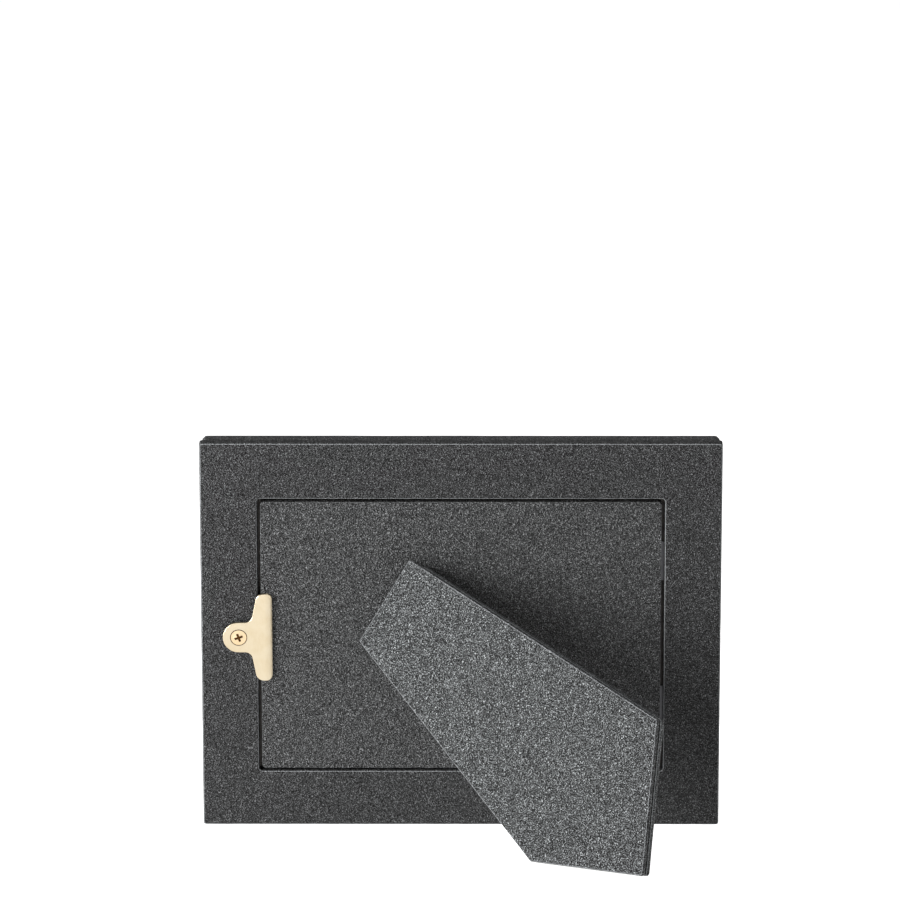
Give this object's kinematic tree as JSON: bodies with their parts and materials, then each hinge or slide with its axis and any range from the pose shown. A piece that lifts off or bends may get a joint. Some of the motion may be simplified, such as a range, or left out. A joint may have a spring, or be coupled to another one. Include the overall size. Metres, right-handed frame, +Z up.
{
  "type": "tabletop photo frame",
  "caption": "Leather-covered tabletop photo frame with a folding easel leg, a removable back panel and a brass turn-button.",
  "frame": {"origin": "on the table under the middle of the frame, as it stands on its long side on the open leg", "axes": "+Z up; the print is seen from -Y and the back with its leg is on +Y; +X to the right of someone who looks at the print"},
  "size_m": [0.203, 0.1177, 0.1573],
  "materials": {
    "leather": "fine-grain, black",
    "fibreboard": "raw fibreboard",
    "rail_wood": "planed softwood, stained black",
    "steel": "black oxide, oiled",
    "brass": "satin, pale gold",
    "glass": "clear",
    "paper": "blank print paper",
    "card": "grey card",
    "black_card": "black card",
    "lining": "short black pile"
  },
  "bodies": {
    "frame": {"back_ring_board": "fibreboard", "back_ring_leather": "leather", "rail_top": "rail_wood", "rail_bottom": "rail_wood", "rail_button_side": "rail_wood", "rail_tongue_side": "rail_wood", "corner_nails": "steel", "front_leather": "leather", "glass_pane": "glass", "print_card": "paper", "filler_card": "card", "panel_board": "fibreboard", "panel_leather": "leather", "panel_lining": "lining", "panel_tongues": "steel", "hinge_panel_leaf": "steel", "hinge_pin": "steel", "hinge_panel_rivets": "steel", "button_washer": "brass", "button_screw": "brass"},
    "leg": {"leg_inner_board": "fibreboard", "leg_inner_leather": "leather", "leg_card": "black_card", "leg_outer_board": "fibreboard", "leg_outer_leather": "leather", "hinge_leg_leaf": "steel", "hinge_leg_rivets": "steel"},
    "button": {"turn_button": "brass"}
  },
  "joints": [
    {"name": "leg_hinge", "type": "hinge", "parent": "frame", "child": "leg", "pos_m": [0.02617, -0.02664, 0.09108], "axis": [-0.503, 0.1575, 0.8498], "range_deg": [0, 38.8]},
    {"name": "button_turn", "type": "hinge", "parent": "frame", "child": "button", "pos_m": [0.0868, -0.03122, 0.07787], "axis": [0, 0.9833, -0.1822], "continuous": true}
  ]
}
